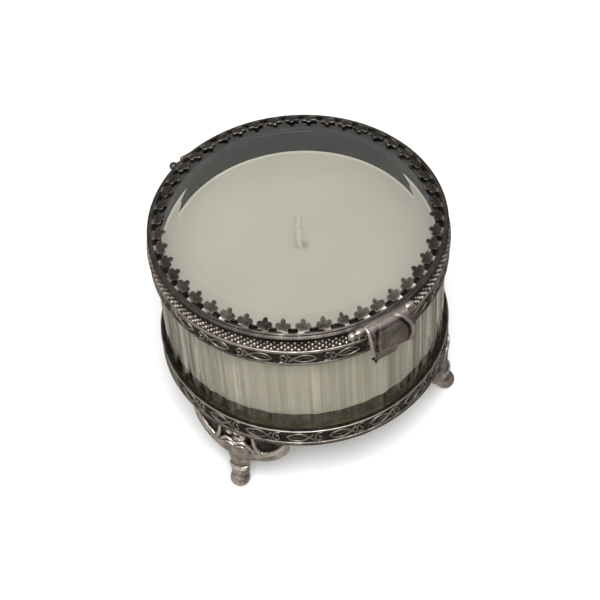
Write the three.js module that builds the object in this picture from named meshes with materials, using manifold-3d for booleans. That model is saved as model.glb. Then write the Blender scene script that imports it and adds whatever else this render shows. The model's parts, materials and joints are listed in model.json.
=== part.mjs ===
// A round, footed, faceted glass trinket box with a hinged, glazed lid, filled with candle wax.
// Millimetres, +Z up. The origin is on the box's axis, at the level of the surface it stands on.
// The clasp faces -Y, and the hinge is opposite it, at +Y.

import * as THREE from 'three';
import { mergeVertices } from 'three/addons/utils/BufferGeometryUtils.js';
import Module from 'manifold-3d';

const wasm = await Module();
wasm.setup();

// ---------------------------------------------------------------- driving dimensions

const BAND_RADIUS = 48;            // outside of the lower stamped band
const BAND_HEIGHT = 8;
const BAND_THICKNESS = 0.75;
const LOWER_BAND_Z = 28.8;          // lower edge of the lower band
const UPPER_BAND_RADIUS = 47.5;
const UPPER_BAND_HEIGHT = 6.2;
const UPPER_BAND_THICKNESS = 0.5;
const UPPER_BAND_Z = 70.5;         // lower edge of the upper band
const COLLAR_THICKNESS = 0.8;      // plain ring behind the lower band
const RIM_COLLAR_THICKNESS = 0.6;  // plain ring behind the upper band
const RIM_SKIRT_THICKNESS = 0.5;
const FIT_GAP = 0.1;               // clearance between neighbours that are fixed together

const GLASS_RADIUS = 46.2;         // across the facets' corners
const GLASS_WALL = 3.5;
const GLASS_BASE = 8.8;            // thickness of the pressed base
const FACETS = 40;
const GLASS_TOP_Z = 78.2;

const WAX_TOP_Z = 69.8;
const WICK_PLACE = [-0.2, -0.5];    // the wick isn't quite in the middle of the wax
const WICK_RADIUS = 0.95;
const WICK_RISE = 9.9;             // height of the free end above the wax
const WICK_LEAN = 4;               // how far the free end leans sideways
const WICK_HEADING = 60.5;         // direction of the lean, degrees from +X
const SUSTAINER_RADIUS = 7.5;
const SUSTAINER_NECK_HEIGHT = 3.2;

const RIDGE_RADIUS = 47.3;         // centre line of the plain wire round the rim
const RIDGE_WIRE = 0.5;            // radius of that wire
const GALLERY_FOOT_RADIUS = 47.6;  // the beaded strip leans in a little towards its top edge
const GALLERY_HEAD_RADIUS = 46.95;
const GALLERY_THICKNESS = 0.4;
const RIM_Z = 82.6;                // underside of the lid
const RIM_SLIT = 1;                // open slit between the beaded strip and the lid
const LID_RADIUS = 47.1;
const LID_WALL_TOP_Z = 83.9;
const LID_WALL_TOP_RADIUS = 45.4;
const LID_OPENING_RADIUS = 43;     // clear opening of the lid's seat
const LID_GLASS_RADIUS = 44.2;
const LID_GLASS_Z = 83.15;
const LID_GLASS_EDGE = 0.6;        // thickness at the edge of the bevel
const LID_GLASS_THICKNESS = 2.4;
const LID_GLASS_FLAT = 37;         // radius of the flat inside the bevel

const CROWN_TABS = 46;
const CROWN_TURN = 1;              // degrees the first tab is off the clasp's middle
const TAB_LENGTH = 4.5;
const TAB_THICKNESS = 0.4;
const TAB_SLOPE = 21.5;             // degrees the tabs rise inwards

const FOOT_HEADINGS = [-151.7, -37, 88];   // set by hand, so a few degrees off even thirds
const FOOT_SPREAD = 22.5;          // half of the bracket's arc, degrees
const FOOT_DROP = 12.6;            // depth of the bracket at its middle
const FOOT_THICKNESS = 1.6;
const FOOT_RADIUS = 47.4;          // outside of the bracket
const BALL_RADIUS = 3.3;
const BALL_Z = 3.05;               // the ball is ground flat where it stands
const BALL_OFFSET = 47.3;          // distance of each ball from the axis

const HINGE_Y = 50.7;
const HINGE_Z = 74.3;
const KNUCKLE_RADIUS = 1.8;
const KNUCKLE_LENGTH = 5;
const KNUCKLE_GAP = 0.3;
const KNUCKLES = 5;
const PIN_RADIUS = 0.7;
const PIN_BORE = 0.78;

const CLASP_Y = -48.8;
const CLASP_Z = 84.5;
const CLASP_BARREL = 1.25;
const CLASP_TOP_WIDTH = 16.4;
const CLASP_FOOT_WIDTH = 15;
const CLASP_SHORT_EDGE = 8.9;      // the plate's lower edge is cut on the slant, shorter at its left
const CLASP_THICKNESS = 0.9;
const CLASP_LIP = [-6.2, 1.8];     // the narrow lip below the plate, from and to in x

const RING_SIDES = 60;
const SMALL_SIDES = 16;

// ---------------------------------------------------------------- materials

const metal = { color: 0x8a827c, roughness: 0.42, metalness: 1 };
const darkMetal = { color: 0x6d6661, roughness: 0.5, metalness: 1 };
const clearGlass = { color: 0xdfe4dc, roughness: 0.05, metalness: 0, transparent: true, opacity: 0.35 };
const wax = { color: 0xd9d7c4, roughness: 0.55, metalness: 0 };
const cotton = { color: 0xe4dfc8, roughness: 0.9, metalness: 0 };

// ---------------------------------------------------------------- solids

const radians = THREE.MathUtils.degToRad;

function solidOf(geometry) {
  const bare = geometry.clone();
  bare.deleteAttribute('normal');
  bare.deleteAttribute('uv');
  const merged = mergeVertices(bare, 1e-5);
  return new wasm.Manifold(new wasm.Mesh({
    numProp: 3,
    vertProperties: new Float32Array(merged.attributes.position.array),
    triVerts: new Uint32Array(merged.index.array),
  }));
}

function geometryOf(solid) {
  const mesh = solid.getMesh();
  const geometry = new THREE.BufferGeometry();
  geometry.setAttribute('position', new THREE.BufferAttribute(new Float32Array(mesh.vertProperties), 3));
  geometry.setIndex(new THREE.BufferAttribute(new Uint32Array(mesh.triVerts), 1));
  return geometry;
}

function joined(...geometries) {
  return geometryOf(geometries.map(solidOf).reduce((sum, next) => sum.add(next)));
}

function cut(geometry, ...tools) {
  return geometryOf(tools.map(solidOf).reduce((rest, tool) => rest.subtract(tool), solidOf(geometry)));
}

function kept(geometry, region) {
  return geometryOf(solidOf(geometry).intersect(solidOf(region)));
}

// A solid of revolution about Z. The profile is (radius, z), anticlockwise.
function turned(profile, sides = RING_SIDES) {
  const points = profile.map(([radius, z]) => new THREE.Vector2(radius, z));
  const last = points[points.length - 1];
  const openOnAxis = points[0].x === 0 && last.x === 0;
  if (!openOnAxis) points.push(points[0].clone());
  return new THREE.LatheGeometry(points, sides).rotateX(Math.PI / 2);
}

function rectangleProfile(inner, outer, low, high) {
  return [[inner, low], [outer, low], [outer, high], [inner, high]];
}

function disc(radius, low, high, sides = RING_SIDES) {
  return turned([[0, low], [radius, low], [radius, high], [0, high]], sides);
}

function block(from, to) {
  const size = to.map((value, axis) => value - from[axis]);
  const middle = to.map((value, axis) => (value + from[axis]) / 2);
  return new THREE.BoxGeometry(...size).translate(...middle);
}

// A round bar along X, centred on (y, z).
function rod(fromX, toX, y, z, radius) {
  const length = toX - fromX;
  return new THREE.CylinderGeometry(radius, radius, length, SMALL_SIDES)
    .rotateZ(Math.PI / 2)
    .translate((fromX + toX) / 2, y, z);
}

// A polygon drawn in the (y, z) plane and extruded along X.
function sidePlate(outline, fromX, toX) {
  const shape = new THREE.Shape(outline.map(([y, z]) => new THREE.Vector2(y, z)));
  const plate = new THREE.ExtrudeGeometry(shape, { depth: toX - fromX, bevelEnabled: false });
  return plate.rotateX(Math.PI / 2).rotateZ(Math.PI / 2).translate(fromX, 0, 0);
}

function pinWithHead(fromX, toX, y, z, headRadius) {
  const head = new THREE.SphereGeometry(headRadius, 12, 8).translate(fromX - headRadius * 0.8, y, z);
  return joined(rod(fromX - headRadius * 0.5, toX, y, z, PIN_RADIUS), head);
}

const parts = new THREE.Group();

function add(name, look, geometry, parent = parts) {
  const mesh = new THREE.Mesh(geometry, new THREE.MeshStandardMaterial(look));
  mesh.name = name;
  parent.add(mesh);
  return mesh;
}

// ---------------------------------------------------------------- glass, wax and wick

const glassFloorZ = LOWER_BAND_Z + 3.3;
const glassInner = GLASS_RADIUS - GLASS_WALL;
const waxFloorZ = glassFloorZ + GLASS_BASE + FIT_GAP;
const glassChamfer = 1;

function glassJar() {
  return turned([
    [0, glassFloorZ],
    [GLASS_RADIUS - glassChamfer, glassFloorZ],
    [GLASS_RADIUS, glassFloorZ + glassChamfer],
    [GLASS_RADIUS, GLASS_TOP_Z],
    [glassInner, GLASS_TOP_Z],
    [glassInner, glassFloorZ + GLASS_BASE],
    [0, glassFloorZ + GLASS_BASE],
  ], FACETS);
}

const sustainerFlange = 0.5;
const sustainerNeck = 2;

function wickSustainer() {
  const top = waxFloorZ + sustainerFlange;
  return turned([
    [0, waxFloorZ],
    [SUSTAINER_RADIUS, waxFloorZ],
    [SUSTAINER_RADIUS, top],
    [sustainerNeck, top],
    [sustainerNeck, top + SUSTAINER_NECK_HEIGHT],
    [0, top + SUSTAINER_NECK_HEIGHT],
  ], FACETS).translate(...WICK_PLACE, 0);
}

function candleWax() {
  const recess = SUSTAINER_RADIUS + FIT_GAP * 2;
  const recessTop = waxFloorZ + sustainerFlange + FIT_GAP;
  const neck = sustainerNeck + FIT_GAP * 2;
  const neckTop = recessTop + SUSTAINER_NECK_HEIGHT + FIT_GAP;
  const wickHole = WICK_RADIUS + 0.2;
  const fill = disc(glassInner - FIT_GAP, waxFloorZ, WAX_TOP_Z, FACETS);
  const hollow = turned([
    [0, waxFloorZ - 1],
    [recess, waxFloorZ - 1],
    [recess, recessTop],
    [neck, recessTop],
    [neck, neckTop],
    [wickHole, neckTop],
    [wickHole, WAX_TOP_Z + 1],
    [0, WAX_TOP_Z + 1],
  ], SMALL_SIDES).translate(...WICK_PLACE, 0);
  return cut(fill, hollow);
}

function wick() {
  const foot = waxFloorZ + sustainerFlange + SUSTAINER_NECK_HEIGHT + FIT_GAP;
  const heading = radians(WICK_HEADING);
  const lean = new THREE.Vector3(Math.cos(heading), Math.sin(heading), 0);
  const path = new THREE.CurvePath();
  const bend = new THREE.Vector3(...WICK_PLACE, WAX_TOP_Z);
  const tip = new THREE.Vector3(...WICK_PLACE, WAX_TOP_Z + WICK_RISE).addScaledVector(lean, WICK_LEAN);
  const knee = new THREE.Vector3(...WICK_PLACE, WAX_TOP_Z + WICK_RISE * 0.3);
  path.add(new THREE.LineCurve3(new THREE.Vector3(...WICK_PLACE, foot), bend));
  path.add(new THREE.QuadraticBezierCurve3(bend, knee, tip));
  const section = new THREE.Shape().absarc(0, 0, WICK_RADIUS, 0, Math.PI * 2);
  return new THREE.ExtrudeGeometry(section, { steps: 12, curveSegments: 4, extrudePath: path });
}

// ---------------------------------------------------------------- fixed rims

const bandInner = BAND_RADIUS - BAND_THICKNESS;
const collarOuter = bandInner - FIT_GAP;
const collarInner = collarOuter - COLLAR_THICKNESS;
const upperBandTop = UPPER_BAND_Z + UPPER_BAND_HEIGHT;
const upperBandInner = UPPER_BAND_RADIUS - UPPER_BAND_THICKNESS;
const ridgeZ = upperBandTop + RIDGE_WIRE;
const hingeHalfWidth = (KNUCKLES * KNUCKLE_LENGTH + (KNUCKLES - 1) * KNUCKLE_GAP) / 2;
const hingeNotch = block([-hingeHalfWidth - 1, 30, upperBandTop - 0.5], [hingeHalfWidth + 1, 60, RIM_Z]);

function lowerScrollBand() {
  return turned(rectangleProfile(bandInner, BAND_RADIUS, LOWER_BAND_Z, LOWER_BAND_Z + BAND_HEIGHT));
}

function upperScrollBand() {
  return turned(rectangleProfile(upperBandInner, UPPER_BAND_RADIUS, UPPER_BAND_Z, upperBandTop));
}

// The ring behind the lower band, closed underneath by a plate that the jar stands on.
function baseCollar() {
  const shelfTop = glassFloorZ - FIT_GAP;
  return turned([
    [0, shelfTop - COLLAR_THICKNESS],
    [collarInner, shelfTop - COLLAR_THICKNESS],
    [collarInner, LOWER_BAND_Z],
    [collarOuter, LOWER_BAND_Z],
    [collarOuter, LOWER_BAND_Z + BAND_HEIGHT],
    [collarInner, LOWER_BAND_Z + BAND_HEIGHT],
    [collarInner, shelfTop],
    [0, shelfTop],
  ]);
}

// The ring crimped over the glass: a skirt outside it, a flange, and a skirt inside it down to the wax.
function rimCollar() {
  const outer = upperBandInner - FIT_GAP;
  const inner = outer - RIM_COLLAR_THICKNESS;
  const neck = RIDGE_RADIUS - RIDGE_WIRE - FIT_GAP;
  const flangeZ = GLASS_TOP_Z + 0.3;
  const skirtOuter = glassInner - FIT_GAP * 2.5;
  const skirtInner = skirtOuter - RIM_SKIRT_THICKNESS;
  const skirtLow = WAX_TOP_Z + FIT_GAP;
  return turned([
    [inner, UPPER_BAND_Z],
    [outer, UPPER_BAND_Z],
    [outer, upperBandTop - FIT_GAP],
    [neck, upperBandTop + 0.1],
    [neck, flangeZ + RIM_COLLAR_THICKNESS],
    [skirtInner, flangeZ + RIM_COLLAR_THICKNESS],
    [skirtInner, skirtLow],
    [skirtOuter, skirtLow],
    [skirtOuter, flangeZ],
    [inner, flangeZ],
  ]);
}

// The strip that carries the rows of beads, from the wire up to the slit under the lid.
function beadedGallery() {
  const low = ridgeZ + RIDGE_WIRE + 0.05;
  const high = RIM_Z - RIM_SLIT;
  const strip = turned([
    [GALLERY_FOOT_RADIUS - GALLERY_THICKNESS, low],
    [GALLERY_FOOT_RADIUS, low],
    [GALLERY_HEAD_RADIUS, high],
    [GALLERY_HEAD_RADIUS - GALLERY_THICKNESS, high],
  ]);
  return cut(strip, hingeNotch);
}

function ridgeWire() {
  const section = [];
  const sides = 6;
  for (let side = 0; side < sides; side += 1) {
    const turn = (side / sides) * Math.PI * 2;
    section.push([RIDGE_RADIUS + RIDGE_WIRE * Math.cos(turn), ridgeZ + RIDGE_WIRE * Math.sin(turn)]);
  }
  return cut(turned(section), hingeNotch);
}

// ---------------------------------------------------------------- feet

// The bracket under the lower band: a curved plate with its lower edge a half ellipse.
function footPlate() {
  const steps = 14;
  const top = LOWER_BAND_Z - FIT_GAP;
  const positions = [];
  for (let step = 0; step <= steps; step += 1) {
    const across = (step / steps) * 2 - 1;
    const turn = radians(across * FOOT_SPREAD);
    const low = top - 0.8 - FOOT_DROP * Math.sqrt(1 - across * across);
    for (const [radius, z] of rectangleProfile(FOOT_RADIUS - FOOT_THICKNESS, FOOT_RADIUS, low, top)) {
      positions.push(radius * Math.cos(turn), radius * Math.sin(turn), z);
    }
  }
  const index = [0, 1, 2, 0, 2, 3];
  for (let step = 0; step < steps; step += 1) {
    for (let corner = 0; corner < 4; corner += 1) {
      const a = step * 4 + corner;
      const b = step * 4 + (corner + 1) % 4;
      index.push(a, a + 4, b, b, a + 4, b + 4);
    }
  }
  const end = steps * 4;
  index.push(end, end + 2, end + 1, end, end + 3, end + 2);
  const plate = new THREE.BufferGeometry();
  plate.setAttribute('position', new THREE.Float32BufferAttribute(positions, 3));
  plate.setIndex(index);
  return plate;
}

function foot() {
  const knee = new THREE.SphereGeometry(1, 12, 8).scale(1.7, 4.7, 7).translate(46.3, 0, 18.5);
  const leg = new THREE.CylinderGeometry(4, 3.2, 10, 12).rotateX(Math.PI / 2)
    .scale(0.5, 1, 1).translate(46.2, 0, 9.8);
  const ball = new THREE.SphereGeometry(BALL_RADIUS, 12, 8).rotateX(Math.PI / 2)
    .translate(BALL_OFFSET, 0, BALL_Z);
  const whole = joined(footPlate(), knee, leg, ball);
  return kept(whole, block([30, -30, 0], [60, 30, LOWER_BAND_Z - FIT_GAP]));
}

// ---------------------------------------------------------------- lid

const crownLow = LID_WALL_TOP_Z - 0.5;
const crownInner = LID_GLASS_RADIUS + 0.3;

function lidRing() {
  const seatTop = LID_GLASS_Z - FIT_GAP;
  const wallTop = crownLow - FIT_GAP;
  return turned([
    [LID_OPENING_RADIUS, RIM_Z],
    [LID_RADIUS - 0.1, RIM_Z],
    [LID_RADIUS, RIM_Z + 0.2],
    [LID_RADIUS - 0.8, wallTop],
    [crownInner, wallTop],
    [crownInner, seatTop],
    [LID_OPENING_RADIUS, seatTop],
  ]);
}

function lidGlass() {
  const top = LID_GLASS_Z + LID_GLASS_THICKNESS;
  return turned([
    [0, LID_GLASS_Z],
    [LID_GLASS_RADIUS, LID_GLASS_Z],
    [LID_GLASS_RADIUS, LID_GLASS_Z + LID_GLASS_EDGE],
    [LID_GLASS_FLAT, top],
    [0, top],
  ]);
}

// One trefoil tab, lying in XY with its neck at the origin and its tip towards +X.
function tab() {
  const outline = new THREE.Shape();
  const neck = 1.9;
  const lobe = { x: 2.45, y: 1.2, radius: 1.15 };
  const tip = { x: TAB_LENGTH - 0.85, radius: 0.85 };
  outline.moveTo(-0.2, -neck);
  outline.lineTo(1.3, -neck + 0.2);
  outline.absarc(lobe.x, -lobe.y, lobe.radius, radians(-150), radians(25));
  outline.absarc(tip.x, 0, tip.radius, radians(-75), radians(75));
  outline.absarc(lobe.x, lobe.y, lobe.radius, radians(-25), radians(150));
  outline.lineTo(1.3, neck - 0.2);
  outline.lineTo(-0.2, neck);
  return new THREE.ExtrudeGeometry(outline, { depth: TAB_THICKNESS, curveSegments: 2, bevelEnabled: false });
}

function crownGallery() {
  const ring = turned([
    [crownInner, crownLow],
    [LID_WALL_TOP_RADIUS + 0.6, crownLow],
    [LID_WALL_TOP_RADIUS, LID_WALL_TOP_Z],
    [crownInner, LID_WALL_TOP_Z + 0.05],
  ], CROWN_TABS).rotateZ(radians(CROWN_TURN + 180 / CROWN_TABS));
  const pitch = 360 / CROWN_TABS;
  const tabs = [];
  for (let count = 0; count < CROWN_TABS; count += 1) {
    const heading = radians(-90 + CROWN_TURN + count * pitch);
    tabs.push(tab()
      .rotateZ(Math.PI)
      .rotateY(radians(TAB_SLOPE))
      .translate(LID_WALL_TOP_RADIUS - 0.15, 0, LID_WALL_TOP_Z - TAB_THICKNESS)
      .rotateZ(heading));
  }
  return joined(ring, ...tabs);
}

// ---------------------------------------------------------------- hinge

function knuckles(isOnLid) {
  const pitch = KNUCKLE_LENGTH + KNUCKLE_GAP;
  const barrels = [];
  for (let count = 0; count < KNUCKLES; count += 1) {
    if ((count % 2 === 1) !== isOnLid) continue;
    const from = -hingeHalfWidth + count * pitch;
    barrels.push([from, from + KNUCKLE_LENGTH]);
  }
  return barrels;
}

function knuckleBarrel([from, to]) {
  return rod(from, to, HINGE_Y, HINGE_Z, KNUCKLE_RADIUS);
}

const hingeBore = rod(-hingeHalfWidth - 1, hingeHalfWidth + 1, HINGE_Y, HINGE_Z, PIN_BORE);

const leafThickness = 0.8;

function aroundHinge(profile, halfWidth) {
  return kept(turned(profile), block([-halfWidth, 30, 50], [halfWidth, 60, 100]));
}

// The plate soldered to the upper band, with the outer and middle knuckles.
function hingeLeafBody() {
  const inner = UPPER_BAND_RADIUS + FIT_GAP;
  const low = UPPER_BAND_Z + 0.5;
  const plate = aroundHinge(rectangleProfile(inner, inner + leafThickness, low, upperBandTop - 0.5), hingeHalfWidth);
  const webs = knuckles(false).map(([from, to]) => block([from, 44, HINGE_Z - 0.8], [to, HINGE_Y - 0.3, HINGE_Z + 0.6]));
  const seated = cut(joined(plate, ...webs), disc(inner, 60, 90));
  return cut(joined(seated, ...knuckles(false).map(knuckleBarrel)), hingeBore);
}

// The strap from the lid's underside, through the notch in the beads, out and down to its two knuckles.
function hingeLeafLid() {
  const low = upperBandTop + 0.3;
  const high = RIM_Z - FIT_GAP;
  const outer = UPPER_BAND_RADIUS + 0.25;
  const strap = aroundHinge([
    [LID_OPENING_RADIUS + 1.5, high - 0.6],
    [LID_RADIUS - 0.65, high - 0.6],
    [outer - 0.7, low],
    [outer, low],
    [LID_RADIUS, high],
    [LID_OPENING_RADIUS + 1.5, high],
  ], hingeHalfWidth - 1);
  const webs = knuckles(true).map(([from, to]) => sidePlate([
    [outer - 0.8, low],
    [HINGE_Y - 1.2, low],
    [HINGE_Y - 0.8, HINGE_Z + 1],
    [HINGE_Y + 0.6, HINGE_Z + 1],
    [HINGE_Y - 0.2, low + 0.8],
    [outer - 0.8, low + 0.8],
  ], from, to));
  return cut(joined(strap, ...webs, ...knuckles(true).map(knuckleBarrel)), hingeBore);
}

function hingePin() {
  return pinWithHead(-hingeHalfWidth - 2.2, hingeHalfWidth + 0.8, HINGE_Y, HINGE_Z, 1.4);
}

// ---------------------------------------------------------------- clasp

const plateLeft = -CLASP_TOP_WIDTH / 2;
const plateRight = 6.4;            // the plate's barrel stops short, and the right lug takes its place
const lugGap = 0.2;
const leftLug = [plateLeft - lugGap - 2.6, plateLeft - lugGap];
const rightLug = [plateRight + lugGap, plateRight + lugGap + 2.7];
const claspBore = rod(-15, 15, CLASP_Y, CLASP_Z, PIN_BORE);

// The lid's half of the clasp: a strip on the lid's wall with a lug at each end for the pin.
function claspBracket() {
  const strip = sidePlate([
    [-LID_RADIUS - 0.7, RIM_Z + 0.1],
    [-LID_RADIUS - 0.7, RIM_Z + 0.9],
    [-40, RIM_Z + 0.9],
    [-40, RIM_Z + 0.1],
  ], leftLug[0], rightLug[1]);
  const lugs = [leftLug, rightLug].map(([from, to]) => sidePlate([
    [CLASP_Y - CLASP_BARREL * 0.8, CLASP_Z - 0.6],
    [CLASP_Y, CLASP_Z + CLASP_BARREL * 0.9],
    [-44, CLASP_Z - 0.5],
    [-44, RIM_Z + 0.1],
    [-LID_RADIUS - 0.7, RIM_Z + 0.1],
  ], from, to));
  const barrels = [leftLug, rightLug].map(([from, to]) => rod(from, to, CLASP_Y, CLASP_Z, CLASP_BARREL));
  const seat = disc(LID_RADIUS + FIT_GAP, RIM_Z - 1, LID_WALL_TOP_Z + 3);
  return cut(joined(strip, ...lugs, ...barrels), seat, claspBore);
}

// The outline of the hanging plate, seen from the side: out over the barrel and down.
function claspOutline() {
  const curve = new THREE.CubicBezierCurve(
    new THREE.Vector2(CLASP_Y, CLASP_Z + CLASP_BARREL - CLASP_THICKNESS / 2),
    new THREE.Vector2(CLASP_Y - 3.5, CLASP_Z + 0.9),
    new THREE.Vector2(CLASP_Y - 4.2, CLASP_Z - 5),
    new THREE.Vector2(CLASP_Y - 3.1, CLASP_Z - 11.6),
  );
  const steps = 10;
  const outside = [];
  const inside = [];
  for (let step = 0; step <= steps; step += 1) {
    const point = curve.getPoint(step / steps);
    const along = curve.getTangent(step / steps);
    const offset = new THREE.Vector2(along.y, -along.x).multiplyScalar(CLASP_THICKNESS / 2);
    outside.push([point.x + offset.x, point.y + offset.y]);
    inside.push([point.x - offset.x, point.y - offset.y]);
  }
  return [...outside, ...inside.reverse()];
}

function claspPlate() {
  const sheet = sidePlate(claspOutline(), plateLeft, -plateLeft);
  const halfTop = CLASP_TOP_WIDTH / 2;
  const halfFoot = CLASP_FOOT_WIDTH / 2;
  const front = new THREE.Shape([
    new THREE.Vector2(-halfFoot, CLASP_Z - CLASP_SHORT_EDGE),
    new THREE.Vector2(halfFoot, CLASP_Z - 12),
    new THREE.Vector2(halfTop, CLASP_Z - 4),
    new THREE.Vector2(halfTop, CLASP_Z + 3),
    new THREE.Vector2(-halfTop, CLASP_Z + 3),
    new THREE.Vector2(-halfTop, CLASP_Z - 4),
  ]);
  const window = new THREE.ExtrudeGeometry(front, { depth: 20, bevelEnabled: false })
    .rotateX(Math.PI / 2).translate(0, -40, 0);
  const rightNotch = block([plateRight, CLASP_Y - 2.2, CLASP_Z - 2.4], [12, -44, CLASP_Z + 3]);
  const barrel = rod(plateLeft, plateRight, CLASP_Y, CLASP_Z, CLASP_BARREL);
  const lip = sidePlate([
    [CLASP_Y - 3.7, CLASP_Z - 8],
    [CLASP_Y - 2.7, CLASP_Z - 14.2],
    [CLASP_Y - 2.1, CLASP_Z - 14.2],
    [CLASP_Y - 3.1, CLASP_Z - 8],
  ], ...CLASP_LIP);
  return cut(joined(cut(kept(sheet, window), rightNotch), barrel, lip), claspBore);
}

function claspPin() {
  return pinWithHead(leftLug[0] - 0.3, rightLug[1] - 0.6, CLASP_Y, CLASP_Z, 1.3);
}

// A low half-round bar on the upper band, which the plate's lip rests against.
function claspCatch() {
  const bar = rod(-3.5, 3.5, -UPPER_BAND_RADIUS - 0.2, UPPER_BAND_Z + 3.2, 0.9);
  return cut(bar, disc(UPPER_BAND_RADIUS + FIT_GAP, UPPER_BAND_Z, upperBandTop));
}

// ---------------------------------------------------------------- assembly

add('glass_jar', clearGlass, glassJar());
add('candle_wax', wax, candleWax());
add('wick', cotton, wick());
add('wick_sustainer', metal, wickSustainer());

add('base_collar', darkMetal, baseCollar());
add('lower_scroll_band', metal, lowerScrollBand());
add('rim_collar', darkMetal, rimCollar());
add('upper_scroll_band', metal, upperScrollBand());
add('ridge_wire', metal, ridgeWire());
add('beaded_gallery', metal, beadedGallery());

const footNames = ['foot_front_left', 'foot_front_right', 'foot_rear'];
footNames.forEach((name, count) => {
  const mount = new THREE.Group();
  mount.rotation.z = radians(FOOT_HEADINGS[count]);
  parts.add(mount);
  add(name, metal, foot(), mount);
});

add('lid_ring', metal, lidRing());
add('crown_gallery', metal, crownGallery());
add('lid_glass', clearGlass, lidGlass());

add('hinge_leaf_body', metal, hingeLeafBody());
add('hinge_leaf_lid', metal, hingeLeafLid());
add('hinge_pin', metal, hingePin());

add('clasp_bracket', metal, claspBracket());
add('clasp_plate', metal, claspPlate());
add('clasp_pin', metal, claspPin());
add('clasp_catch', darkMetal, claspCatch());

export default parts;
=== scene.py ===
"""The looks of a round footed glass trinket box with its candle.

Shapes are built in millimetres in the model's own frame, and become metres when a piece is made.
"""

import json
import random
from math import asin, cos, degrees, exp, pi, radians, sin, sqrt

import bmesh
import bpy
import numpy as np
from mathutils import Matrix, Vector


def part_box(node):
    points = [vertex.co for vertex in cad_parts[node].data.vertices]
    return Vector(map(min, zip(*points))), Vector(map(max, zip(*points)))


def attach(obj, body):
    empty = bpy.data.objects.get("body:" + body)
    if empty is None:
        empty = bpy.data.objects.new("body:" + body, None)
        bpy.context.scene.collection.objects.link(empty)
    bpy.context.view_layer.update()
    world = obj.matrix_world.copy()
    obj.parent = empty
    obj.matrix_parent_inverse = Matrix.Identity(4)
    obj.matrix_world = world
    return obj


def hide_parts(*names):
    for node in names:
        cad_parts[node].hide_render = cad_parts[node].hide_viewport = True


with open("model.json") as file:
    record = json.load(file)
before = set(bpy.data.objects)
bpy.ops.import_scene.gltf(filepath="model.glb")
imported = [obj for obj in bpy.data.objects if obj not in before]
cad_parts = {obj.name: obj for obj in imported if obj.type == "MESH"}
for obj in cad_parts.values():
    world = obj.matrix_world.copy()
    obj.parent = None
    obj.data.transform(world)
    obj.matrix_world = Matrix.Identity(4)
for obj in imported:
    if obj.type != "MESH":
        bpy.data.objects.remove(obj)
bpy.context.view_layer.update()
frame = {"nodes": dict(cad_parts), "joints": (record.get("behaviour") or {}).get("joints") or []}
rng = random.Random(7)

MM = 0.001
TURN = 2 * pi
AXIS = 0.001                    # radius at which a turned profile closes, in mm


# ---- sizes, from the CAD nodes


def reach(node):
    """Largest distance of a node from the axis, and its lowest and highest z, in mm."""
    mesh = frame["nodes"][node].data
    points = np.array([v.co for v in mesh.vertices]) / MM
    radius = np.hypot(points[:, 0], points[:, 1])
    return radius.max(), points[:, 2].min(), points[:, 2].max()


def box_mm(node):
    """Lowest and highest corner of a node, in mm."""
    low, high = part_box(node)
    return Vector(low) / MM, Vector(high) / MM


JAR_R, JAR_LOW, JAR_TOP = reach("glass_jar")
WAX_R, WAX_LOW, WAX_TOP = reach("candle_wax")
BAND_R, LOW_BAND_Z, LOW_BAND_TOP = reach("lower_scroll_band")
UP_BAND_R, UP_BAND_Z, UP_BAND_TOP = reach("upper_scroll_band")
RIM_COLLAR_R, _, RIM_COLLAR_TOP = reach("rim_collar")
GALLERY_R, GALLERY_LOW, GALLERY_TOP = reach("beaded_gallery")
COLLAR_R, BASE_LOW, BASE_TOP = reach("base_collar")
RIDGE_R, RIDGE_LOW, RIDGE_TOP = reach("ridge_wire")
LID_R, LID_LOW, LID_TOP = reach("lid_ring")
GLASS_R, GLASS_LOW, GLASS_TOP = reach("lid_glass")
CROWN_R, _, _ = reach("crown_gallery")

FACETS = 40
FIT_GAP = 0.1                   # clearance between fixed neighbours in the CAD
CONTACT = 0.04                  # overlap of what sticks to the glass, so that no film of air shows
JAR_INNER = WAX_R + FIT_GAP
JAR_FLOOR = WAX_LOW - FIT_GAP
PIVOTS = {joint["name"]: [c / MM for c in joint["pos_m"]] for joint in frame["joints"]}
_, HINGE_Y, HINGE_Z = PIVOTS["lid_hinge"]
_, CLASP_Y, CLASP_Z = PIVOTS["clasp_pivot"]
HINGE_HALF = box_mm("hinge_leaf_body")[1].x
NOTCH_HALF = HINGE_HALF + 1
WICK_X, WICK_Y = (sum(c[i] for c in box_mm("wick_sustainer")) / 2 for i in (0, 1))
FOOT_HEADINGS = {"foot_front_left": -151.7, "foot_front_right": -37.0, "foot_rear": 88.0}


# ---- shape building


class Shape:
    """Points, faces and wear_and_painted_light of a piece: 0 in a hollow and 1 on a rubbed high spot, and
    on some pieces also painted shade or a painted highlight.
    """

    def __init__(self):
        self.points, self.faces, self.wear_and_painted_light = [], [], []

    def add(self, points, faces, wear_and_painted_light=0.5):
        base = len(self.points)
        points = np.asarray(points, float)
        self.points.extend(points.tolist())
        self.faces.extend([[base + i for i in face] for face in faces])
        levels = np.broadcast_to(np.asarray(wear_and_painted_light, float), (len(points),))
        self.wear_and_painted_light.extend(levels.tolist())
        return self

    def join(self, other, change=None):
        points = np.array(other.points)
        return self.add(points if change is None else change(points), other.faces, other.wear_and_painted_light)

    def bent(self, change):
        self.points = change(np.array(self.points)).tolist()
        return self


def unit(vectors):
    return vectors / np.maximum(np.linalg.norm(vectors, axis=-1, keepdims=True), 1e-9)


def directions(path):
    return unit(np.gradient(np.asarray(path), axis=0))


def run_of(path):
    """Distance along a path at each of its points."""
    return np.concatenate([[0], np.cumsum(np.linalg.norm(np.diff(path, axis=0), axis=1))])


def tube_faces(rings, sides, closed=False):
    """Side faces between rings of points, each with the same number of sides."""
    faces = []
    for ring in range(rings if closed else rings - 1):
        a, b = ring * sides, ((ring + 1) % rings) * sides
        for side in range(sides):
            after = (side + 1) % sides
            faces.append([a + side, a + after, b + after, b + side])
    return faces


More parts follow.
